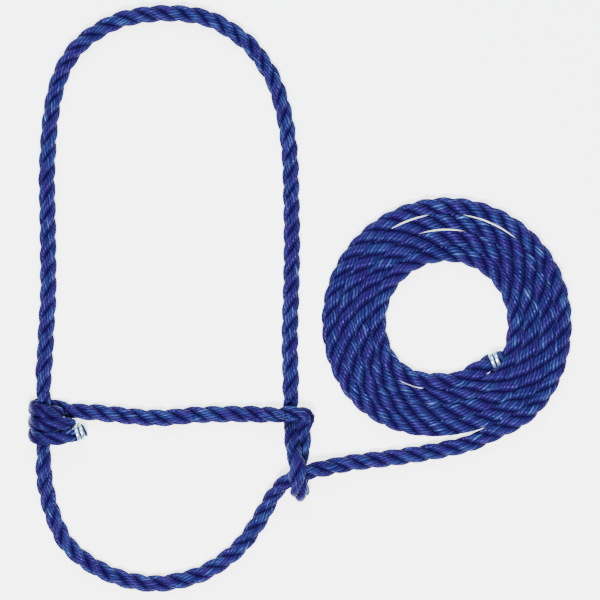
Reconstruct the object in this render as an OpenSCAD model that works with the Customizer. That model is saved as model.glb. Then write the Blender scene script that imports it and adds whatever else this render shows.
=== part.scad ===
// Rope halter with its lead, made from one length of three-strand rope.
// The halter lies flat: +Z is up, +Y points from the chin to the crown and z = 0 is the surface
// that it lies on. The origin is the middle of the halter's head part, on that surface.

/* [Rope] */
// Diameter of the rope where nothing squeezes it
rope_d = 12.7; // [12.4:0.1:12.7]
// Diameter of the rope inside the knot, where it is pulled tight
knot_rope_d = 11.2; // [10.6:0.1:11.3]
// Diameter of the rope between the two legs of the sliding loop
throat_rope_d = 12.4; // [12:0.1:12.5]
// Flat sides round each rope tube
rope_sides = 12; // [8:1:12]

/* [Left eye] */
// Diameter of the straight cheek rope that runs through the eye
cheek_rope_d = 12; // [11:0.1:12]
// Running clearance between the cheek rope and the wraps
wrap_clearance = 0.5; // [0.4:0.05:0.7]
// Thickness of a wrap, squeezed flat against the cheek rope
wrap_thickness = 6.4; // [6:0.1:6.4]
// Width of a wrap along the cheek rope
wrap_width = 11.6; // [10.5:0.1:11.6]

/* [Lead coil] */
// Outer radius of the coiled lead
coil_outer_r = 99.5; // [98:0.5:101]
// Inner radius of the coiled lead
coil_inner_r = 48.5; // [47:0.5:50]

/* [End clamps] */
// Width of one turn of a clamp's flat wire
clamp_band_w = 3.2; // [2.6:0.1:3.6]
// Thickness of the flat wire
clamp_band_t = 1.6; // [1.2:0.1:1.8]
// Number of turns side by side in a clamp
clamp_turns = 2; // [1:1:2]
// How deep the wire bites into the rope
clamp_bite = 0.2; // [0.1:0.1:0.4]
// Length of the melted tip past the clamp
tip_length = 3; // [2:0.5:4]

/* [Hidden] */

rope_r = rope_d / 2;
knot_r = knot_rope_d / 2;
throat_r = throat_rope_d / 2;
cheek_r = cheek_rope_d / 2;
wrap_inner_r = cheek_r + wrap_clearance;
wrap_outer_r = wrap_inner_r + wrap_thickness;
up = [0, 0, 1];
end_gap = 0.4;           // half of the gap at a fold between two rope sections

// The cheek rope runs along Y through the eye, one wrap above the surface
cheek_x = -102;
cheek_z = wrap_outer_r;
cheek_top_y = -70.4;
cheek_bottom_y = -127.2;
wrap_y = [-86.4, -98, -109.6];

// The crown folds about a line along X over both of its ends. The chin folds about a line from
// the foot of the cheek rope to the throat of the loop
crown_fold_y = cheek_top_y;
chin_fold_a = [cheek_x, -128.5, 0];
chin_fold_b = [80.6, -157, 0];
chin_fold_normal = unit(cross(chin_fold_b - chin_fold_a, up));

// Hinge points at the two ends of the nose band
nose_hinge = [82, -92.6, 12.4];
eye_hinge = [-63, -90.5, rope_r];

crown_left_x = cheek_x;
crown_right_x = 94.5;

// Centre lines, in millimetres. Each row is a hand-placed point of the rope
crown_route = [
    [crown_left_x, crown_fold_y + end_gap, cheek_z], [crown_left_x, -60, 12.6], [-101, -42, 8.6],
    [-100.5, -24, rope_r], [-99, 0, rope_r], [-99, 36, rope_r], [-99.5, 72, rope_r],
    [-100, 96, rope_r], [-99, 120, rope_r], [-97, 144, rope_r], [-93, 166, rope_r],
    [-86, 185, rope_r], [-75, 201, rope_r], [-60, 213, rope_r], [-42, 222, rope_r],
    [-24, 226, rope_r], [-5, 227.6, rope_r], [14, 226.5, rope_r], [32, 222, rope_r],
    [48, 213, rope_r], [62, 202, rope_r], [72, 189, rope_r], [80, 176, rope_r],
    [87, 156, rope_r], [91, 138, rope_r], [94, 112, rope_r], [95, 80, rope_r],
    [95.5, 46, rope_r], [95, 10, rope_r], [94, -24, rope_r], [94, -48, rope_r],
    [crown_right_x, -60, rope_r], [crown_right_x, crown_fold_y + end_gap, rope_r]];

nose_route = [
    eye_hinge + [end_gap, 0, 0], [-42, -93, rope_r], [-22, -95, rope_r], [-2, -95, rope_r],
    [17, -93, rope_r], [36, -92.4, rope_r], [56, -92.2, rope_r], [70, -92.4, 8.6],
    nose_hinge - [end_gap, 0, 0]];

knot_route = [
    nose_hinge + [end_gap, 0, 0], [88, -92.5, 15.6], [95, -92, 17.6], [102, -92.4, 16.6],
    [107.6, -96, 14.2], [109.3, -102.5, 11.4], [107, -110, 8.6], [105.8, -118, 7],
    [102.4, -129, knot_r], [104, -143, knot_r], [105, -151, 9.6], [102.6, -156.4, 17.5],
    [100, -152.5, 25.4], [98.8, -144, 29.8], [98.8, -133, 30.2], [97.6, -125.5, 28.4],
    [95, -117.5, 22.4], [94, -110, 15.4], [93.6, -103, 9.2], [94, -96, 6.2],
    [crown_right_x, -88, knot_r], [crown_right_x, -78, knot_r],
    [crown_right_x, crown_fold_y - end_gap, rope_r]];

throat_route = [
    chin_fold_b + [0.4, 0.5, 12], [88, -148, 16.2], [95, -142.6, 17.8], [102, -139.8, 17.8],
    [109, -137.8, 16.8], [116, -136.2, 14.8]];

chin_route = [
    chin_fold_a + [0, -0.5, cheek_z], [-102, -136, 12], [-101.5, -146, 9], [-99.5, -157, 7],
    [-96.5, -169, rope_r], [-92, -181, rope_r], [-85, -194.5, rope_r], [-71, -208, rope_r],
    [-52, -219, rope_r], [-32, -225.5, rope_r], [-13, -227.6, rope_r], [6, -225, rope_r],
    [25, -219, rope_r], [44, -207, rope_r], [56, -196, rope_r], [65, -184, rope_r],
    [73.5, -170, 7.4], chin_fold_b + [-0.4, -0.6, 11.6]];

eye_in_route = [eye_hinge - [end_gap, 0, 0], [-76, -88.5, rope_r], [-90, -87, rope_r]];

eye_tail_route = [[-93, -110.5, 19.5], [-84, -111, 18.6], [-76.5, -108.4, 16.8],
                  [-71, -105.4, 15.4]];

lead_route = [
    [116.8, -136, 14.6], [126, -134.2, 11.4], [140, -131.5, 7.6], [156, -129.5, rope_r],
    [180, -126.5, rope_r], [206, -122.5, rope_r]];

coil_centre = [219, -19, 0];
coil_corner_r = 4;       // rounding of the coil's upper edges

// The inner end of the lead leaves the innermost turn and lies along it, in a notch of the coil
lead_tail_route = [[229, -64.6, rope_r], [243, -57, rope_r], [252, -51.8, 6.9], [263, -46.2, 7.6]];
lead_tail_r = [rope_r, rope_r, 6.1, 5.8];
lead_notch_angle = 29;
lead_notch_w = rope_d + 3;
lead_notch_l = 46;

// Unit vector along v
function unit(v) = v / norm(v);

// Direction of a route at its point i, from the points on both sides
function route_dir(p, i) =
    unit(p[min(i + 1, len(p) - 1)] - p[max(i - 1, 0)]);

// One side vector for each point, carried along the route without twisting
function side_vectors(dirs, side, i = 0) =
    i == len(dirs) ? []
    : let (s = unit(side - dirs[i] * (side * dirs[i])))
      concat([s], side_vectors(dirs, s, i + 1));

// A round rope tube along a route. Its end faces are square to the route unless a face normal
// is given, such as that of a fold line that crosses the rope at an angle
module rope_tube(route, r, first_normal = undef, last_normal = undef) {
    count = len(route);
    radii = is_list(r) ? r : [for (p = route) r];
    dirs = [for (i = [0 : count - 1]) route_dir(route, i)];
    sides = side_vectors(dirs, cross(dirs[0], up));
    normals = [for (i = [0 : count - 1])
        i == 0 && !is_undef(first_normal) ? first_normal
        : i == count - 1 && !is_undef(last_normal) ? last_normal
        : dirs[i]];
    points = [for (i = [0 : count - 1], k = [0 : rope_sides - 1])
        let (a = 360 * k / rope_sides,
             spoke = radii[i] * (cos(a) * sides[i] + sin(a) * cross(dirs[i], sides[i])))
        route[i] + spoke - dirs[i] * (spoke * normals[i]) / (dirs[i] * normals[i])];
    walls = [for (i = [0 : count - 2], k = [0 : rope_sides - 1])
        let (a = i * rope_sides + k, b = i * rope_sides + (k + 1) % rope_sides)
        each [[a, a + rope_sides, b], [b, a + rope_sides, b + rope_sides]]];
    first_face = [for (k = [0 : rope_sides - 1]) k];
    last_face = [for (k = [rope_sides - 1 : -1 : 0]) (count - 1) * rope_sides + k];
    polyhedron(points, concat(walls, [first_face, last_face]), convexity = 10);
}

// Puts its children at the end of a route, with +Z along the rope
module at_route_end(route) {
    last = len(route) - 1;
    d = unit(route[last] - route[last - 1]);
    translate(route[last])
        rotate([0, acos(d[2]), atan2(d[1], d[0])])
            children();
}

// One flattened turn of the nose rope round the cheek rope, with a true round bore
module eye_wrap(y) {
    translate([cheek_x, y, cheek_z])
        rotate([90, 0, 0])
            rotate_extrude($fn = 96)
                translate([wrap_inner_r + wrap_thickness / 2, 0])
                    wrap_section();
}

// Section of a wrap: flat against the cheek rope and round on the outside
module wrap_section() {
    round_r = wrap_thickness * 0.45;
    inner_x = -wrap_thickness / 2;
    intersection() {
        translate([inner_x, -wrap_width / 2])
            square([wrap_thickness, wrap_width]);
        union() {
            for (s = [-1, 1])
                translate([wrap_thickness / 2 - round_r, s * (wrap_width / 2 - round_r)])
                    circle(r = round_r, $fn = 32);
            translate([inner_x, -wrap_width / 2])
                square([wrap_thickness - round_r, wrap_width]);
            translate([inner_x, -wrap_width / 2 + round_r])
                square([wrap_thickness, wrap_width - 2 * round_r]);
        }
    }
}

// Flat wire turns squeezed round the last stretch of the rope, which ends at z = 0
module end_clamp(around_r) {
    for (i = [0 : clamp_turns - 1])
        translate([0, 0, -clamp_band_w / 2 - 0.8 - i * (clamp_band_w - 0.1)])
            rotate_extrude($fn = 64)
                translate([around_r - clamp_bite + clamp_band_t / 2, 0])
                    band_section();
}

// Section of the flat wire, with round edges
module band_section() {
    edge = (clamp_band_w - clamp_band_t) / 2;
    square([clamp_band_t, 2 * edge], center = true);
    for (s = [-1, 1])
        translate([0, s * edge])
            circle(d = clamp_band_t, $fn = 24);
}

// Melted rope end, a low dome that stands on the rope's end face at z = 0
module melted_tip(around_r) {
    rim = 0.8;
    rotate_extrude($fn = 48)
        polygon([[0, 0], [around_r, 0], [around_r, rim],
                 for (a = [15 : 15 : 75]) [around_r * cos(a), rim + (tip_length - rim) * sin(a)],
                 [0, tip_length]]);
}

module cheek_section() {
    color("#26357f")
        translate([cheek_x, cheek_top_y - end_gap, cheek_z])
            rotate([90, 0, 0])
                cylinder(r = cheek_r, h = cheek_top_y - end_gap - cheek_bottom_y, $fn = 64);
}

module loop_knot() {
    color("#2c3f94")
        rope_tube(knot_route, knot_r, [1, 0, 0], [0, 1, 0]);
}

module throat_section() {
    color("#26357f")
        rope_tube(throat_route, throat_r, chin_fold_normal);
}

module nose_band() {
    color("#2f489f")
        rope_tube(nose_route, rope_r, [1, 0, 0], [1, 0, 0]);
}

module eye_lead_in() {
    color("#2f489f")
        rope_tube(eye_in_route, rope_r, [1, 0, 0]);
}

module eye_wrap_upper() {
    color("#344fa8")
        eye_wrap(wrap_y[0]);
}

module eye_wrap_middle() {
    color("#2b3f93")
        eye_wrap(wrap_y[1]);
}

module eye_wrap_lower() {
    color("#344fa8")
        eye_wrap(wrap_y[2]);
}

module eye_tail() {
    color("#2b3f93")
        rope_tube(eye_tail_route, knot_r);
}

module eye_end_ring() {
    color("silver")
        at_route_end(eye_tail_route)
            end_clamp(knot_r);
}

module eye_end_tip() {
    color("#1d2a63")
        at_route_end(eye_tail_route)
            melted_tip(knot_r - 0.4);
}

module crown_strap() {
    color("#31509f")
        rope_tube(crown_route, rope_r, [0, 1, 0], [0, 1, 0]);
}

module chin_strap() {
    color("#31509f")
        rope_tube(chin_route, rope_r, chin_fold_normal, chin_fold_normal);
}

module lead_run() {
    color("#31509f")
        rope_tube(lead_route, rope_r);
}

module lead_coil() {
    color("#2c4494")
        difference() {
            translate(coil_centre)
                rotate_extrude($fn = 128)
                    translate([coil_inner_r, 0])
                        coil_section();
            translate(lead_tail_route[0])
                rotate(lead_notch_angle)
                    translate([0, -lead_notch_w / 2, -rope_d])
                        cube([lead_notch_l, lead_notch_w, 3 * rope_d]);
        }
}

// Section through the whole coil: flat underneath, rounded at the top
module coil_section() {
    w = coil_outer_r - coil_inner_r;
    for (x = [coil_corner_r, w - coil_corner_r])
        translate([x, rope_d - coil_corner_r])
            circle(r = coil_corner_r, $fn = 32);
    square([w, rope_d - coil_corner_r]);
    translate([coil_corner_r, 0])
        square([w - 2 * coil_corner_r, rope_d]);
}

module lead_tail() {
    color("#31509f")
        rope_tube(lead_tail_route, lead_tail_r);
}

module lead_end_ring() {
    color("silver")
        at_route_end(lead_tail_route)
            end_clamp(lead_tail_r[3]);
}

module lead_end_tip() {
    color("#1d2a63")
        at_route_end(lead_tail_route)
            melted_tip(lead_tail_r[3] - 0.4);
}

cheek_section();
loop_knot();
throat_section();
nose_band();
eye_lead_in();
eye_wrap_upper();
eye_wrap_middle();
eye_wrap_lower();
eye_tail();
eye_end_ring();
eye_end_tip();
crown_strap();
chin_strap();
lead_run();
lead_coil();
lead_tail();
lead_end_ring();
lead_end_tip();
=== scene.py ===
"""Rope halter with a coiled lead: the looks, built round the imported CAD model.

The whole halter is one three-strand rope. Its centre line is put together once, from the clamp at
the eye to the clamp on the lead, and is then cut into pieces where the halter bends or slides.
"""

import math

import bpy
import numpy as np
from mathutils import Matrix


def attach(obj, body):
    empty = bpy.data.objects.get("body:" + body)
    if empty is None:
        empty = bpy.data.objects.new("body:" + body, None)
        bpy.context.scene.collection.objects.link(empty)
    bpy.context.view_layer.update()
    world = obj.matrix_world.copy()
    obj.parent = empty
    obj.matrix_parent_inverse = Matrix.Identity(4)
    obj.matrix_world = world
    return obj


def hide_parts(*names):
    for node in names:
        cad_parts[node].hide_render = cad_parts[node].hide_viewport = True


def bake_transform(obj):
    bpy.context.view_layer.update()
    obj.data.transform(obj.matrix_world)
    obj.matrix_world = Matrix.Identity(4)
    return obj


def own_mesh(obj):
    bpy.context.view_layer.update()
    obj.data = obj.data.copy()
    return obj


MM = 0.001

# The rope
ROPE_R = 6.35 * MM            # half the nominal 12.7 mm
FULL_R = 6.95 * MM            # out to the crowns of the strands, on the loose rope
COIL_R = 7.05 * MM            # the coil's turns press against each other
KNOT_R = 6.4 * MM             # where the sliding loop squeezes it
BEND_R = 7.2 * MM             # at the loop's sharp bend, where the strands open up
BEND_FROM_Y = -116 * MM       # from there down, the loop's rope opens up towards the bend
BEND_OVER = 24 * MM           # and has BEND_R after this distance
CHEEK_R = 6.1 * MM            # inside the eye
EYE_R = 5.5 * MM              # in the eye's tight turns
NOSE_START_R = 6.2 * MM       # where the nose rope leaves the eye
LEAD_END_R = 5.7 * MM         # inside the lead's clamp
LAY = 46 * MM                 # length of one full turn of the strands
STRANDS = 3
YARNS = 8                     # yarns that show round one strand
YARN_COLUMNS = 5              # mesh columns across one yarn
YARN_DEPTH = 0.24             # groove between yarns, as a share of the strand's radius
YARN_ROUNDNESS = 0.7          # power of the yarn's profile: below 1 gives narrow grooves
YARN_WANDER = 0.018           # unevenness of the yarns, as a share of the strand's radius
WANDER_LENGTH = 57 * MM       # over which that unevenness repeats
YARN_PHASE = 0.37             # from one yarn's unevenness to the next, as a share of a wave
FIBRE_R = 3 * MM              # of the round that the material's fibre coordinates run on
STRANDS_APART = 0.1           # metres between the strands' fibre coordinates, so that they differ
YARN_BACK_TURN = 2.7          # the yarns turn back this much faster than the strands turn
STRAND_OFFSET = 0.48          # of a strand's middle from the rope's, as a share of its radius
STRAND_R = 0.54               # the strands press into each other, so they overlap
STRAND_WIDEN = 1.04           # a strand is this much wider than it is high
RING_STEP = 1.6 * MM          # distance between mesh rings along the rope
PATH_STEP = 0.8 * MM          # distance between points of the centre line
FLOOR_GAP = 0.1 * MM          # the rope's underside is pressed flat at this height
CUT_LENGTH = 6 * MM           # over which the strands turn square to the rope at its cut ends

# The rope's colours (linear); the blues are places on a ramp from dark to light yarns, whose
# lightest stop is a painted highlight
ROPE_BLUES_AND_HIGHLIGHT = [(0.22, (0.005, 0.004, 0.045)), (0.42, (0.012, 0.013, 0.086)),
              (0.60, (0.026, 0.048, 0.18)), (0.78, (0.13, 0.26, 0.58))]
ROPE_VIOLET = (0.020, 0.004, 0.085)
# Painted shade: the colour that the grooves between yarns and the strands' inward sides turn
# towards
ROPE_GROOVE_SHADE = (0.006, 0.0008, 0.033)

# The left eye: the rope turns round the cheek rope, flattened against it
CHEEK_X, CHEEK_Z = -102 * MM, 12.9 * MM     # where the cheek rope runs
WRAP_R = 9.75 * MM            # from the cheek rope's middle to the wrap's middle
WRAP_SQUEEZE = 0.57           # thickness of a wrap, as a share of the round rope's
WRAP_TOP_Y = -86.6 * MM       # the first turn's place along the cheek rope
WRAP_STEP_Y = -10.9 * MM      # from one turn to the next
WRAP_FROM, WRAP_TO = -630, 270    # degrees round the cheek rope, the last turn first
WRAP_POINT_EVERY = 15         # degrees
LOWER_TURN_UP_TO = -180       # degrees
UPPER_STAND_OUT = 3.6 * MM    # how far the first turn stands out to the right
LOWER_STAND_OUT = 11.5 * MM   # how far the lower turn does
LOWER_TURN_RISE = 3.4 * MM    # the lower turn moves towards the first where it stands out
WRAP_CLEAR = 1 * MM           # a turn that is this far off the cheek rope gets rounder
WRAP_ROUND_OVER = 6 * MM      # and is round again this much farther off
WRAP_SPREAD = 0.035           # flattened rope is wider by this share
WRAP_SHADE = 0.3              # painted shade: the tight turns' tops are darker and more violet by this share

# The coiled lead
COIL_CENTRE = np.array([219, -19]) * MM
COIL_OUTER_R = 93 * MM        # middle of the outermost turn
COIL_TURNS = 4
COIL_INNER_R = COIL_OUTER_R - 2 * ROPE_R * (COIL_TURNS - 1)     # middle of the innermost turn
COIL_START = 300              # degrees
COIL_POINT_EVERY = 7.5        # degrees
COIL_LEFT_OUT = 40            # degrees of the last turn, where the tail leaves it
COIL_SHIFT_FROM = 0.75        # share of a turn after which the rope moves in by one diameter
COIL_BULGE = 3.8 * MM         # the turns spread a little where the rope moves in
COIL_BULGE_AT = 312           # degrees
COIL_BULGE_POWER = 8          # of a cosine: how short the bulge is
COIL_WIDEN = 1.3              # a turn is this much wider, before it is cut off at COIL_REACH
COIL_REACH = 6.5 * MM         # from a turn's middle to where it presses on the next
COIL_CORNER = 16              # how sharp the corner of that flat side is
COIL_SIDE = 9 * MM            # rope this far from the first or last turn has a neighbour there
COIL_SIDE_FADE = 4 * MM       # and gets it over this distance
COIL_OUTSIDE = 4.5 * MM       # rope this far outside the first turn is pressed less
COIL_OUTSIDE_FADE = 3 * MM    # and not at all from this much farther out
COIL_SLIT = 1.5 * MM          # gap between the turns where they lie slack
COIL_SLIT_BAND = 4 * MM       # it shows between the two turns that meet within this distance
# Where that is: the middle of the slit and its half width, in degrees, and its distance from
# the coil's middle
COIL_SLACK = [(110, 10, 86.6 * MM), (65, 15, 86.6 * MM), (92, 13, 73.9 * MM), (243, 12, 57.4 * MM)]

# The clamps' flat wire and the melted ends
END_POINTS = 8                # points of the centre line that give the direction of a rope end
WIRE_TURNS = 2.15
WIRE_WIDTH, WIRE_THICK = 2.9 * MM, 1.6 * MM
WIRE_PITCH = 3.8 * MM
WIRE_START = 0.9              # radians round the rope
WIRE_BITE = 0.15 * MM         # the wire sinks into the rope
WIRE_END_SHARE = 0.06         # of the wire, at each end, stands up
WIRE_END_LIFT = 0.36 * MM
TIP_OVERLAP = 1.2 * MM        # the melted end starts this far inside the clamp
TIP_FLAT = 0.02               # radius of the flat middle, as a share of the rope's


def mm(points):
    """Points written in millimetres, as an array in metres."""
    return np.array(points, float) * MM


# Centre lines: every row is one given point. The crown, cheek and chin follow the CAD model;
# the loop, the nose rope's start and the ropes' ends lie up to a few mm off it, as photographed.
CROWN_ROUTE = mm([
    (94.5, -70, 6.35), (94.5, -60, 6.35), (94, -48, 6.35), (94, -24, 6.35), (95, 10, 6.35),
    (95.5, 46, 6.35), (95, 80, 6.35), (94, 112, 6.35), (91, 138, 6.35), (87, 156, 6.35),
    (80, 176, 6.35), (72, 189, 6.35), (62, 202, 6.35), (48, 213, 6.35), (32, 222, 6.35),
    (14, 226.5, 6.35), (-5, 227.6, 6.35), (-24, 226, 6.35), (-42, 222, 6.35), (-60, 213, 6.35),
    (-75, 201, 6.35), (-86, 185, 6.35), (-93, 166, 6.35), (-97, 144, 6.35), (-99, 120, 6.35),
    (-100, 96, 6.35), (-99.5, 72, 6.35), (-99, 36, 6.35), (-99, 0, 6.35), (-100.5, -24, 6.35),
    (-101, -42, 8.6), (-102, -60, 12.6)])

NOSE_ROUTE = mm([
    (-82, -89.2, 6.0), (-63, -90.8, 6.35), (-42, -93, 6.35), (-22, -95, 6.35), (-2, -95, 6.35),
    (17, -93, 6.35), (36, -92.4, 6.35), (56, -92.2, 6.35), (70, -92.4, 8.6)])

KNOT_ROUTE = mm([
    (82, -92.6, 12.4), (88, -92.3, 15.8), (95, -91.4, 18), (102, -91.8, 17.4),
    (107.8, -94.2, 15.6), (106, -98.8, 13.4), (104.6, -103.4, 11), (104.2, -108.6, 9),
    (105, -115.5, 7.4), (103.4, -122.5, 6.4), (101.4, -130, 6.2), (102, -141, 6.4),
    (102.8, -149.6, 10), (102.2, -154.4, 17.5), (101, -151.6, 25.6), (100.2, -143.6, 30.2),
    (99.8, -133, 30.6), (98.2, -125.5, 28.4), (96.2, -117.5, 22.6), (95.4, -110, 16),
    (95.4, -103, 9.8), (95.2, -96, 6.4), (94.8, -88, 5.8), (94.5, -80, 6)])

CHEEK_ROUTE = mm([(-102, -72, 12.9), (-102, -98, 12.9), (-102, -125, 12.9)])

CHIN_ROUTE = mm([
    (-102, -136, 12), (-101.5, -146, 9), (-99.5, -157, 7), (-96.5, -169, 6.35),
    (-92, -181, 6.35), (-85, -194.5, 6.35), (-71, -208, 6.35), (-52, -219, 6.35),
    (-32, -225.5, 6.35), (-13, -227.6, 6.35), (6, -225, 6.35), (25, -219, 6.35),
    (44, -207, 6.35), (56, -196, 6.35), (65, -184, 6.35), (73.5, -170, 7.4)])

THROAT_ROUTE = mm([
    (80.6, -157, 11.8), (88, -148, 16.2), (95, -142.6, 17.8), (102, -139.8, 17.8),
    (109, -137.8, 16.8)])

LEAD_ROUTE = mm([
    (116.8, -136, 14.6), (126, -134.2, 11.4), (140, -131.5, 7.6), (156, -129.5, 6.35),
    (180, -126.5, 6.35), (206, -122.5, 6.35), (222, -119.4, 6.35), (238, -115.4, 6.35),
    (251, -109.6, 6.35)])

LEAD_TAIL_ROUTE = mm([(229, -64.6, 6.35), (243, -57, 6.35), (252, -51.8, 7.4), (263, -46.2, 8.6)])

EYE_TAIL_ROUTE = mm([(-69.2, -104.4, 15.6), (-75, -107.2, 16.8), (-83, -110.2, 18.8)])


def smooth(x):
    """A soft step from 0 to 1."""
    x = np.clip(x, 0, 1)
    return x * x * (3 - 2 * x)


def unit(v):
    """Vectors scaled to length 1."""
    v = np.asarray(v, float)
    return v / np.linalg.norm(v, axis=-1, keepdims=True)


# ---------------------------------------------------------------- the centre line

def coil_points():
    """The lead's turns: a spiral of nearly four rounds, which steps in by one rope at the same
    place in each."""
    points = []
    steps = int((COIL_TURNS * 360 - COIL_LEFT_OUT) / COIL_POINT_EVERY)
    for step in range(1, steps + 1):
        turn, share = divmod(step * COIL_POINT_EVERY / 360, 1)
        angle = math.radians(COIL_START + share * 360)
        moved_in = turn + smooth((share - COIL_SHIFT_FROM) / (1 - COIL_SHIFT_FROM))
        facing = max(0, math.cos(angle - math.radians(COIL_BULGE_AT)))
        r = COIL_OUTER_R - 2 * ROPE_R * moved_in + COIL_BULGE * facing ** COIL_BULGE_POWER
        x, y = COIL_CENTRE + r * np.array([math.cos(angle), math.sin(angle)])
        points.append((x, y, ROPE_R))
    return np.array(points)


def wrap_points():
    """Two and a half turns round the cheek rope, from the front of the last to the back of the
    first. Both turns stand out to the right of the cheek rope, the lower one far."""
    points = []
    for a in range(WRAP_FROM, WRAP_TO + 1, WRAP_POINT_EVERY):
        side = math.cos(math.radians(a))
        to_right = max(0, side) ** 2
        lower = a < LOWER_TURN_UP_TO
        reach = WRAP_R + (LOWER_STAND_OUT if lower else UPPER_STAND_OUT) * to_right
        y = WRAP_TOP_Y + WRAP_STEP_Y * (180 - a) / 360
        if lower:
            y += LOWER_TURN_RISE * to_right
        points.append((CHEEK_X + reach * side, y, CHEEK_Z + WRAP_R * math.sin(math.radians(a))))
    return np.array(points)


def with_radius(points, r, flat=0.0):
    """Adds the rope's radius and how far it is flattened to each point."""
    shape = len(points)
    return np.column_stack([points, np.broadcast_to(r, shape), np.broadcast_to(flat, shape)])


def wrap_flatness(points):
    """The wraps are flat against the cheek rope, and round again where a turn stands clear."""
    away = np.hypot(points[:, 0] - CHEEK_X, points[:, 2] - CHEEK_Z)
    return 1 - smooth((away - WRAP_R - WRAP_CLEAR) / WRAP_ROUND_OVER)


def knot_radius(points):
    """The sliding loop's rope opens up towards its sharp bend."""
    return KNOT_R + (BEND_R - KNOT_R) * smooth((BEND_FROM_Y - points[:, 1]) / BEND_OVER)


def whole_rope():
    """The whole centre line, as rows of x, y, z, radius and flatness, evenly spaced."""
    wraps = wrap_points()
    nose = with_radius(NOSE_ROUTE, FULL_R)
    nose[0, 3] = NOSE_START_R
    lead_tail = with_radius(LEAD_TAIL_ROUTE, FULL_R)
    lead_tail[-1, 3] = LEAD_END_R
    rows = [
        with_radius(EYE_TAIL_ROUTE, EYE_R),
        with_radius(wraps, EYE_R, wrap_flatness(wraps)),
        nose,
        with_radius(KNOT_ROUTE, knot_radius(KNOT_ROUTE)),
        with_radius(CROWN_ROUTE, FULL_R),
        with_radius(CHEEK_ROUTE, CHEEK_R),
        with_radius(CHIN_ROUTE, FULL_R),
        with_radius(THROAT_ROUTE, KNOT_R),
        with_radius(LEAD_ROUTE, FULL_R),
        with_radius(coil_points(), COIL_R),
        lead_tail]
    return resample(spline(np.concatenate(rows)), PATH_STEP)


def spline(p, per_span=12):
    """A smooth curve through every row (a centripetal Catmull-Rom curve)."""
    p = np.vstack([2 * p[0] - p[1], p, 2 * p[-1] - p[-2]])
    out = []
    for a, b, c, d in zip(p, p[1:], p[2:], p[3:]):
        t1 = np.linalg.norm(b[:3] - a[:3]) ** 0.5
        t2 = t1 + np.linalg.norm(c[:3] - b[:3]) ** 0.5
        t3 = t2 + np.linalg.norm(d[:3] - c[:3]) ** 0.5
        for t in np.linspace(t1, t2, per_span, endpoint=False):
            ab = a + (b - a) * t / t1
            bc = b + (c - b) * (t - t1) / (t2 - t1)
            cd = c + (d - c) * (t - t2) / (t3 - t2)
            abc = ab + (bc - ab) * t / t2
            bcd = bc + (cd - bc) * (t - t1) / (t3 - t1)
            out.append(abc + (bcd - abc) * (t - t1) / (t2 - t1))
    out.append(p[-2])
    return np.array(out)


def resample(rows, step):
    """The same curve with its rows evenly spaced along it."""
    s = np.concatenate([[0], np.cumsum(np.linalg.norm(np.diff(rows[:, :3], axis=0), axis=1))])
    even = np.linspace(0, s[-1], int(round(s[-1] / step)) + 1)
    return np.column_stack([np.interp(even, s, column) for column in rows.T])


class Rope:
    """The whole rope: its centre line and a frame that follows it without twisting."""

    def __init__(self):
        rows = whole_rope()
        self.points = rows[:, :3]
        self.radius = rows[:, 3]
        self.flat = np.clip(rows[:, 4], 0, 1)
        steps = np.linalg.norm(np.diff(self.points, axis=0), axis=1)
        self.s = np.concatenate([[0], np.cumsum(steps)])
        self.along = unit(np.gradient(self.points, axis=0))
        self.side = np.empty_like(self.points)
        side = np.cross(self.along[0], (0, 0, 1))
        for i, t in enumerate(self.along):
            side = unit(side - t * (side @ t))
            self.side[i] = side

    def length(self):
        """Length of the whole rope."""
        return self.s[-1]

    def at(self, point):
        """How far along the rope it passes closest to a point."""
        return self.s[np.argmin(np.linalg.norm(self.points - np.asarray(point), axis=1))]

    def sample(self, column, s):
        """A property of the rope at places along it."""
        if column.ndim == 1:
            return np.interp(s, self.s, column)
        return np.column_stack([np.interp(s, self.s, c) for c in column.T])

    def path(self, start, end, step=4 * MM):
        """Points along the middle of a stretch."""
        return self.sample(self.points, np.linspace(start, end, int((end - start) / step) + 2))


# ---------------------------------------------------------------- meshes

def new_object(name, verts, faces, material):
    """A smooth-shaded mesh object in the scene."""
    mesh = bpy.data.meshes.new(name)
    mesh.from_pydata([tuple(v) for v in verts], [], [tuple(f) for f in faces])
    mesh.materials.append(material)
    mesh.polygons.foreach_set("use_smooth", [True] * len(mesh.polygons))
    mesh.update()
    obj = bpy.data.objects.new(name, mesh)
    bpy.context.scene.collection.objects.link(obj)
    return obj


def tube_faces(rings, columns, first=0):
    """Side faces and two end caps of a tube, whose vertices start at number first."""
    i, j = np.meshgrid(np.arange(rings - 1), np.arange(columns), indexing="ij")
    a = first + i * columns + j
    b = first + i * columns + (j + 1) % columns
    sides = np.stack([a, b, b + columns, a + columns], axis=-1).reshape(-1, 4)
    caps = [list(range(first + columns - 1, first - 1, -1)),
            list(range(first + (rings - 1) * columns, first + rings * columns))]
    return sides.tolist() + caps


def flatten(offsets, centres, flat):
    """Squeezes points of the rope's section towards its centre line where it is wrapped."""
    away = centres - np.array([CHEEK_X, 0, CHEEK_Z])
    away[:, 1] = 0
    away = unit(away)[:, None, :]
    out = (offsets * away).sum(-1, keepdims=True) * away
    amount = ((1 - WRAP_SQUEEZE) * flat)[:, None, None]
    return offsets - amount * out + WRAP_SPREAD * flat[:, None, None] * offsets * [0, 1, 0]


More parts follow.
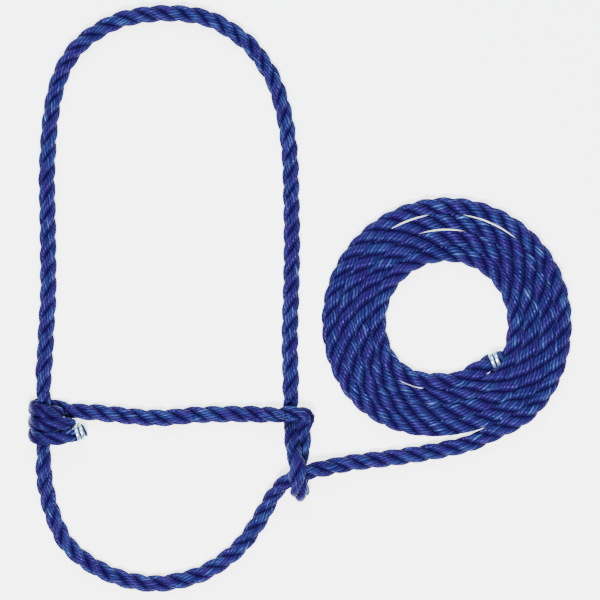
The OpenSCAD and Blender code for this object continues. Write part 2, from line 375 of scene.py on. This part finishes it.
def press_turns(offsets, centres):
    """Widens the coil's turns until they meet, and flattens them where they do. The outside of
    the first turn and the inside of the last one have no neighbour and stay round."""
    from_centre = centres[:, :2] - COIL_CENTRE
    away = np.linalg.norm(from_centre, axis=1)
    outward = np.column_stack([from_centre / away[:, None], np.zeros(len(away))])[:, None, :]
    d = (offsets * outward).sum(-1)
    angle = np.degrees(np.arctan2(from_centre[:, 1], from_centre[:, 0])) % 360
    between = away[:, None] + ROPE_R * np.sign(d)
    slack = sum(np.exp(-((angle[:, None] - at) / spread) ** 4
                       - ((between - r) / COIL_SLIT_BAND) ** 4)
                for at, spread, r in COIL_SLACK)
    reach = COIL_REACH - COIL_SLIT / 2 * slack
    wide = COIL_WIDEN * d
    pressed = wide / (1 + np.abs(wide / reach) ** COIL_CORNER) ** (1 / COIL_CORNER)
    first = smooth((away - COIL_OUTER_R + COIL_SIDE) / COIL_SIDE_FADE)
    last = smooth((COIL_INNER_R + COIL_SIDE - away) / COIL_SIDE_FADE)
    in_coil = 1 - smooth((away - COIL_OUTER_R - COIL_OUTSIDE) / COIL_OUTSIDE_FADE)
    share = np.where(d > 0, 1 - first[:, None], 1 - last[:, None]) * in_coil[:, None]
    return offsets + (share * (pressed - d))[..., None] * outward


def rope_frame(rope, s):
    """The middle of the rope at each place, its direction and two axes across it."""
    t = unit(rope.sample(rope.along, s))
    u = rope.sample(rope.side, s)
    u = unit(u - t * (u * t).sum(1, keepdims=True))
    return rope.sample(rope.points, s), t, u, np.cross(t, u)


def strand_frame(rope, s, turn):
    """How far a strand's middle lies off the rope's, which way that is, and the direction across
    the strand in its own section, which leans as the strand does but is square at a cut end."""
    centre, t, u, v = rope_frame(rope, s)
    out = np.cos(turn)[:, None] * u + np.sin(turn)[:, None] * v
    around = -np.sin(turn)[:, None] * u + np.cos(turn)[:, None] * v
    offset = STRAND_OFFSET * rope.sample(rope.radius, s)
    uncut = smooth(np.minimum(s, rope.length() - s) / CUT_LENGTH)
    lean = (np.arctan(2 * math.pi * offset / LAY) * uncut)[:, None]
    return centre, offset, out, around * np.cos(lean) - t * np.sin(lean)


def per_vertex(shape, *values):
    """One row of values for each vertex of a strand."""
    return np.stack([np.broadcast_to(value, shape) for value in values], axis=-1).reshape(-1, 3)


def strand(rope, k, start, end):
    """One strand between two places on the rope: its vertices, how many rings and columns they
    make, and two attributes for its material. Fibre holds coordinates that run along the yarns.
    Relief holds the height on the yarn, how far the place faces outward, less on the wraps' tops,
    and the yarn's number; the material paints shade where the first two are low."""
    s = np.linspace(start, end, max(3, int((end - start) / RING_STEP) + 1))
    turn = 2 * math.pi * (s / LAY + k / STRANDS)
    centre, offset, out, across = strand_frame(rope, s, turn)
    flat = rope.sample(rope.flat, s)

    yarn = np.arange(YARNS * YARN_COLUMNS) / YARN_COLUMNS
    on_strand = 2 * math.pi * yarn / YARNS
    a = on_strand - YARN_BACK_TURN * turn[:, None]
    ridge = np.abs(np.sin(math.pi * yarn)) ** YARN_ROUNDNESS
    wave = s[:, None] / WANDER_LENGTH + yarn * YARN_PHASE + k / STRANDS
    wander = YARN_WANDER * np.sin(2 * math.pi * wave)
    strand_r = (STRAND_R * rope.sample(rope.radius, s))[:, None]
    strand_r = strand_r * (1 - YARN_DEPTH * (1 - ridge) + wander)
    offsets = (offset[:, None, None] * out[:, None, :]
               + (strand_r * np.cos(a))[..., None] * out[:, None, :]
               + (strand_r * np.sin(a) * STRAND_WIDEN)[..., None] * across[:, None, :])
    verts = centre[:, None, :] + press_turns(flatten(offsets, centre, flat), centre)
    verts[..., 2] = np.maximum(verts[..., 2], FLOOR_GAP)

    # Painted shade on the tops of the turns wrapped round the cheek rope: they count as facing out
    # less
    light = 1 - WRAP_SHADE * flat * smooth((centre[:, 2] - CHEEK_Z) / WRAP_R)
    outward_light = (0.5 + 0.5 * np.cos(a)) * light[:, None]
    fibre = per_vertex(a.shape, np.cos(on_strand) * FIBRE_R + STRANDS_APART * k,
                       np.sin(on_strand) * FIBRE_R, s[:, None])
    relief = per_vertex(a.shape, ridge, outward_light, np.floor(yarn) + YARNS * k)
    return verts.reshape(-1, 3), a.shape, fibre, relief


def rope_piece(rope, name, start, end, strands=range(STRANDS)):
    """A stretch of the rope as one object."""
    verts, faces, fibres, reliefs, count = [], [], [], [], 0
    for k in strands:
        v, (rings, columns), fibre, relief = strand(rope, k, start, end)
        faces += tube_faces(rings, columns, count)
        verts.append(v)
        fibres.append(fibre)
        reliefs.append(relief)
        count += len(v)
    obj = new_object(name, np.concatenate(verts), faces, rope_material())
    for label, rows in (("fibre", fibres), ("relief", reliefs)):
        attribute = obj.data.attributes.new(label, "FLOAT_VECTOR", "POINT")
        attribute.data.foreach_set("vector", np.concatenate(rows).astype(np.float32).ravel())
    return obj


# ---------------------------------------------------------------- materials

def node_material(name, metallic=0.0):
    """A new material with a Principled shader, and short-hands to link and add nodes."""
    mat = bpy.data.materials.new(name)
    mat.use_nodes = True
    tree = mat.node_tree
    shader = tree.nodes["Principled BSDF"]
    shader.inputs["Metallic"].default_value = metallic

    def add(kind, **values):
        node = tree.nodes.new(kind)
        for key, value in values.items():
            if key in node.inputs:
                node.inputs[key].default_value = value
            else:
                setattr(node, key, value)
        return node

    return mat, tree.links.new, shader, add


def ramp(add, stops):
    """A colour ramp with (place, colour) stops."""
    node = add("ShaderNodeValToRGB")
    elements = node.color_ramp.elements
    while len(elements) < len(stops):
        elements.new(0.5)
    for element, (place, colour) in zip(elements, stops):
        element.position = place
        element.color = (*colour, 1)
    return node


def rope_material():
    """Polypropylene with a silky gloss: blue on the crowns of the yarns, with painted shade in
    dark violet in the grooves, on the strands' inward sides and on the wraps' tops, with violet
    stretches and fine light filaments along the yarns, whose lightest tone is a painted highlight."""
    mat = bpy.data.materials.get("blue_rope")
    if mat:
        return mat
    mat, link, shader, add = node_material("blue_rope", metallic=0.22)
    shader.inputs["Specular IOR Level"].default_value = 0.1
    shader.inputs["Specular Tint"].default_value = (0.25, 0.45, 1.0, 1)

    fibre = add("ShaderNodeAttribute", attribute_name="fibre")
    relief = add("ShaderNodeAttribute", attribute_name="relief")
    parts = add("ShaderNodeSeparateXYZ")
    link(relief.outputs["Vector"], parts.inputs["Vector"])
    crown, outward, yarn = parts.outputs["X"], parts.outputs["Y"], parts.outputs["Z"]

    def noise(scale, detail):
        """Noise stretched along the yarns; scale is per metre, across and along."""
        place = add("ShaderNodeMapping")
        place.inputs["Scale"].default_value = scale
        link(fibre.outputs["Vector"], place.inputs["Vector"])
        texture = add("ShaderNodeTexNoise", Scale=1.0, Detail=detail, Roughness=0.6)
        link(place.outputs["Vector"], texture.inputs["Vector"])
        return texture.outputs["Fac"]

    def weighted(value, weight, plus):
        """value * weight + plus"""
        node = add("ShaderNodeMath", operation="MULTIPLY_ADD")
        link(value, node.inputs[0])
        node.inputs[1].default_value = weight
        if isinstance(plus, float):
            node.inputs[2].default_value = plus
        else:
            link(plus, node.inputs[2])
        return node.outputs["Value"]

    def mix(factor, first, second):
        """A blend of two colours; each is a colour or the socket that makes it."""
        node = add("ShaderNodeMix", data_type="RGBA")
        link(factor, node.inputs["Factor"])
        ends = [socket for socket in node.inputs if socket.type == "RGBA"]
        for socket, colour in zip(ends, (first, second)):
            if isinstance(colour, tuple):
                socket.default_value = (*colour, 1)
            else:
                link(colour, socket)
        return [socket for socket in node.outputs if socket.type == "RGBA"][0]

    filaments = noise((2600, 2600, 75), 2.0)
    patches = noise((330, 330, 60), 1.0)
    tint = noise((110, 110, 38), 1.0)
    yarn_shade = add("ShaderNodeTexWhiteNoise", noise_dimensions="1D")
    link(yarn, yarn_shade.inputs["W"])

    # The fine filament noise spreads the ramp up to its lightest stop, which paints short
    # highlight dashes along the yarns
    shade = weighted(filaments, 0.8, -0.26)
    shade = weighted(patches, 0.42, shade)
    shade = weighted(yarn_shade.outputs["Value"], 0.2, shade)
    body = ramp(add, ROPE_BLUES_AND_HIGHLIGHT)
    link(shade, body.inputs["Fac"])
    tint_range = ramp(add, [(0.42, (0, 0, 0)), (0.60, (0.7, 0.7, 0.7))])
    link(tint, tint_range.inputs["Fac"])
    tinted = mix(tint_range.outputs["Color"], body.outputs["Color"], ROPE_VIOLET)

    # Painted shade: where the yarn is low or the strand faces inward, the colour turns towards the
    # dark violet groove colour
    open_side = ramp(add, [(0.45, (0, 0, 0)), (0.92, (1, 1, 1))])
    link(outward, open_side.inputs["Fac"])
    lit = add("ShaderNodeMath", operation="MULTIPLY")
    link(crown, lit.inputs[0])
    link(open_side.outputs["Color"], lit.inputs[1])
    link(mix(lit.outputs["Value"], ROPE_GROOVE_SHADE, tinted), shader.inputs["Base Color"])

    link(weighted(patches, 0.3, 0.12), shader.inputs["Roughness"])
    bump = add("ShaderNodeBump", Strength=0.6, Distance=0.0004)
    link(filaments, bump.inputs["Height"])
    link(bump.outputs["Normal"], shader.inputs["Normal"])
    return mat


def clamp_material():
    """Zinc-plated steel wire with fine drawing marks."""
    mat = bpy.data.materials.get("zinc_wire")
    if mat:
        return mat
    mat, link, shader, add = node_material("zinc_wire", metallic=1.0)
    where = add("ShaderNodeTexCoord")
    grain = add("ShaderNodeMapping")
    grain.inputs["Scale"].default_value = (500, 500, 500)
    link(where.outputs["Object"], grain.inputs["Vector"])
    noise = add("ShaderNodeTexNoise", Scale=1.0, Detail=3.0)
    link(grain.outputs["Vector"], noise.inputs["Vector"])
    tone = ramp(add, [(0.3, (0.42, 0.66, 0.78)), (0.7, (0.60, 0.84, 0.94))])
    link(noise.outputs["Fac"], tone.inputs["Fac"])
    link(tone.outputs["Color"], shader.inputs["Base Color"])
    rough = add("ShaderNodeMath", operation="MULTIPLY_ADD")
    rough.inputs[1].default_value = 0.2
    rough.inputs[2].default_value = 0.22
    link(noise.outputs["Fac"], rough.inputs[0])
    link(rough.outputs["Value"], shader.inputs["Roughness"])
    bump = add("ShaderNodeBump", Strength=0.12, Distance=0.0001)
    link(noise.outputs["Fac"], bump.inputs["Height"])
    link(bump.outputs["Normal"], shader.inputs["Normal"])
    return mat


def melted_material():
    """Rope plastic that was melted: nearly black blue, glossy and lumpy."""
    mat = bpy.data.materials.get("melted_rope")
    if mat:
        return mat
    mat, link, shader, add = node_material("melted_rope")
    shader.inputs["Roughness"].default_value = 0.35
    shader.inputs["Specular IOR Level"].default_value = 0.15
    where = add("ShaderNodeTexCoord")
    noise = add("ShaderNodeTexNoise", Scale=450.0, Detail=3.0)
    link(where.outputs["Object"], noise.inputs["Vector"])
    tone = ramp(add, [(0.3, (0.004, 0.006, 0.03)), (0.75, (0.02, 0.035, 0.12))])
    link(noise.outputs["Fac"], tone.inputs["Fac"])
    link(tone.outputs["Color"], shader.inputs["Base Color"])
    bump = add("ShaderNodeBump", Strength=0.5, Distance=0.0006)
    link(noise.outputs["Fac"], bump.inputs["Height"])
    link(bump.outputs["Normal"], shader.inputs["Normal"])
    return mat


# ---------------------------------------------------------------- clamps and tips

def end_frame(point, away):
    """Axes at a rope end: two across it, and one out of it."""
    axis = unit(away)
    side = unit(np.cross(axis, (0, 0, 1)))
    return np.asarray(point), side, np.cross(axis, side), axis


def rounded(angle, power, size):
    """One coordinate of a rounded rectangle of a size; a lower power gives sharper corners."""
    return math.copysign(abs(math.cos(angle)) ** power, math.cos(angle)) * size / 2


def clamp(name, point, away, rope_r, inset):
    """A flat wire wound twice round the rope, with cut ends that stand up a little. Its outer
    turn is inset from the rope's end."""
    origin, side, up, axis = end_frame(point, away)
    steps, round_steps = 150, 16
    verts = []
    for i in range(steps):
        share = i / (steps - 1)
        a = 2 * math.pi * WIRE_TURNS * share + WIRE_START
        out = math.cos(a) * side + math.sin(a) * up
        near_end = smooth(1 - (1 - share) / WIRE_END_SHARE) + smooth(1 - share / WIRE_END_SHARE)
        centre = origin + out * (rope_r - WIRE_BITE + WIRE_THICK / 2 + WIRE_END_LIFT * near_end)
        centre = centre - axis * (inset + WIRE_PITCH * WIRE_TURNS * share)
        for j in range(round_steps):
            b = 2 * math.pi * j / round_steps
            verts.append(centre + axis * rounded(b, 0.55, WIRE_WIDTH)
                         + out * rounded(b - math.pi / 2, 0.75, WIRE_THICK))
    obj = new_object(name, verts, tube_faces(steps, round_steps), clamp_material())
    return obj


def melted_tip(name, point, away, rope_r, tall):
    """The three strands' ends, melted together into a low, uneven dome."""
    origin, side, up, axis = end_frame(point, away)
    rings, columns = 14, 48
    verts = []
    for i in range(rings):
        rise = i / (rings - 1) * math.pi / 2
        r = rope_r * (math.cos(rise) ** 0.6 if i < rings - 1 else TIP_FLAT)
        for j in range(columns):
            a = 2 * math.pi * j / columns
            strand_lobes = 0.05 * math.cos(3 * a + 0.4)
            small_lumps = 0.02 * math.sin(7 * a + 4 * rise / math.pi)
            height = tall * math.sin(rise) * (1 + 0.12 * math.cos(2 * a))
            out = math.cos(a) * side + math.sin(a) * up
            verts.append(origin + out * r * (1 + strand_lobes + small_lumps)
                         + axis * (height - TIP_OVERLAP))
    obj = new_object(name, verts, tube_faces(rings, columns), melted_material())
    return obj


# ---------------------------------------------------------------- scene

def make_camera():
    """Straight above, square to the floor, with a long lens."""
    width, lens, sensor = 480 * MM, 180, 36
    data = bpy.data.cameras.new("camera")
    data.lens = lens
    data.sensor_width = sensor
    cam = bpy.data.objects.new("camera", data)
    cam.location = (102 * MM, -1.2 * MM, width * lens / sensor)
    bpy.context.scene.collection.objects.link(cam)
    bpy.context.scene.camera = cam


def make_light(name, place, size, power, colour=(1, 1, 1), aim=(0.1, 0, 0)):
    """A square area light that faces the point it is aimed at."""
    data = bpy.data.lights.new(name, "AREA")
    data.size = size
    data.energy = power
    data.color = colour
    light = bpy.data.objects.new(name, data)
    light.location = place
    back = unit(np.array(place) - np.array(aim))
    light.rotation_euler = (math.acos(back[2]), 0, math.atan2(back[1], back[0]) + math.pi / 2)
    bpy.context.scene.collection.objects.link(light)


def make_studio():
    """A white floor that glows a little, under a small overhead light from the front, a wide
    cool one from behind and a pale sky."""
    mat, link, shader, add = node_material("white_floor")
    shader.inputs["Roughness"].default_value = 0.9
    shader.inputs["Base Color"].default_value = (0.95, 0.95, 0.95, 1)
    shader.inputs["Emission Color"].default_value = (1, 1, 1, 1)
    shader.inputs["Emission Strength"].default_value = 2.6
    half = 6.0
    corners = [(-half, -half, 0), (half, -half, 0), (half, half, 0), (-half, half, 0)]
    floor = new_object("floor", corners, [(0, 1, 2, 3)], mat)
    world = bpy.data.worlds.new("studio")
    world.use_nodes = True
    sky = world.node_tree.nodes["Background"]
    sky.inputs["Color"].default_value = (0.93, 0.96, 1, 1)
    sky.inputs["Strength"].default_value = 0.55
    bpy.context.scene.world = world
    make_light("key", (0.0, -0.6, 1.7), 0.3, 80)
    make_light("back", (0.0, 1.1, 1.4), 0.9, 35, (0.75, 0.9, 1))


# ---------------------------------------------------------------- the pieces

def build_lead(rope, start, end):
    """The lead: one cord, each strand an object of its own, with its clamp and melted end."""
    strands = [rope_piece(rope, f"lead_strand_{k + 1}", start, end, [k])
               for k in range(STRANDS)]
    for piece in strands:
        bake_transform(piece)
    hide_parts("lead_run", "lead_coil", "lead_tail")
    away = rope.points[-1] - rope.points[-END_POINTS]
    ring = clamp("lead_clamp", rope.points[-1], away, rope_r=5.9 * MM, inset=2 * MM)
    tip = melted_tip("lead_melted_tip", rope.points[-1], away, rope_r=5.8 * MM, tall=3.4 * MM)
    for piece, node in ((ring, "lead_end_ring"), (tip, "lead_end_tip")):
        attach(piece, "lead")
        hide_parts(node)
    rope.path(start, end)


def build_eye(rope, end):
    """The wrapped eye with its clamp and melted end; it slides on the cheek rope."""
    eye = rope_piece(rope, "eye_wraps", 0, end)
    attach(eye, "eye")
    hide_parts("eye_lead_in", "eye_wrap_upper", "eye_wrap_middle", "eye_wrap_lower",
                "eye_tail")
    away = rope.points[0] - rope.points[END_POINTS - 1]
    ring = clamp("eye_clamp", rope.points[0], away, rope_r=5.6 * MM, inset=1 * MM)
    tip = melted_tip("eye_melted_tip", rope.points[0], away, rope_r=5.6 * MM, tall=2.2 * MM)
    for piece, node in ((ring, "eye_end_ring"), (tip, "eye_end_tip")):
        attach(piece, "eye")
        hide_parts(node)


def build_nose(rope, start, middle, end):
    """The nose band, which bends into the eye at one end and into the loop at the other."""
    left = rope_piece(rope, "nose_rope_left", start, middle)
    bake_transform(left)
    right = rope_piece(rope, "nose_rope_right", middle, end)
    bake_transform(right)
    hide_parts("nose_band")


def build_still_piece(rope, name, node, start, end):
    """A stretch that stays with the cheek."""
    piece = rope_piece(rope, name, start, end)
    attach(piece, "cheek")
    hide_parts(node)


def build_crown(rope, start, end):
    """The crown, from the loop to the cheek, as one piece with its transform baked in."""
    crown = rope_piece(rope, "crown_rope", start, end)
    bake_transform(crown)
    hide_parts("crown_strap")


def build_chin(rope, start, bow_start, bow_end, end):
    """The chin rope: its two ends with their transforms baked in, and the bow between them,
    attached to the chin body with a mesh of its own."""
    left = rope_piece(rope, "chin_rope_left", start, bow_start)
    right = rope_piece(rope, "chin_rope_right", bow_end, end)
    for piece in (left, right):
        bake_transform(piece)
    bow = rope_piece(rope, "chin_rope_bow", bow_start, bow_end)
    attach(bow, "chin")
    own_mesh(bow)
    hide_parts("chin_strap")


# ---------------------------------------------------------------- the halter

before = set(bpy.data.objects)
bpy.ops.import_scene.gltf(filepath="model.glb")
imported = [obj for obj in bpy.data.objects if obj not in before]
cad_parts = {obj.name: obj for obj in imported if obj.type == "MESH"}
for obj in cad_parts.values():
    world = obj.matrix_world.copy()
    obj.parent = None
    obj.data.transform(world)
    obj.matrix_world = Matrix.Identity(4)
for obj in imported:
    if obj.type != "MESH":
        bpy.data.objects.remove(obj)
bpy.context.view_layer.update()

make_camera()
rope = Rope()

# Places along the rope where one piece ends and the next begins
EYE_END = rope.at(mm((-82, -87.6, 6)))
NOSE_MIDDLE = rope.at(mm((17, -93, 6.35)))
KNOT_START = rope.at(mm((92, -92.3, 16.8)))
CROWN_START = rope.at(mm((94.5, -80, 5.8)))
CHEEK_START = rope.at(mm((-102, -74, 12.9)))
CHIN_START = rope.at(mm((-102, -123, 12.9)))
BOW_START = rope.at(mm((-97.2, -166, 6.5)))
BOW_END = rope.at(mm((60.1, -190.6, 6.35)))
THROAT_START = rope.at(mm((86, -150.5, 15)))
LEAD_START = rope.at(mm((116.8, -136, 14.6)))
LEAD_END = rope.length()

build_lead(rope, LEAD_START, LEAD_END)
build_eye(rope, EYE_END)
build_nose(rope, EYE_END, NOSE_MIDDLE, KNOT_START)
build_still_piece(rope, "loop_rope", "loop_knot", KNOT_START, CROWN_START)
build_crown(rope, CROWN_START, CHEEK_START)
build_still_piece(rope, "cheek_rope", "cheek_section", CHEEK_START, CHIN_START)
build_chin(rope, CHIN_START, BOW_START, BOW_END, THROAT_START)
build_still_piece(rope, "throat_rope", "throat_section", THROAT_START, LEAD_START)
make_studio()
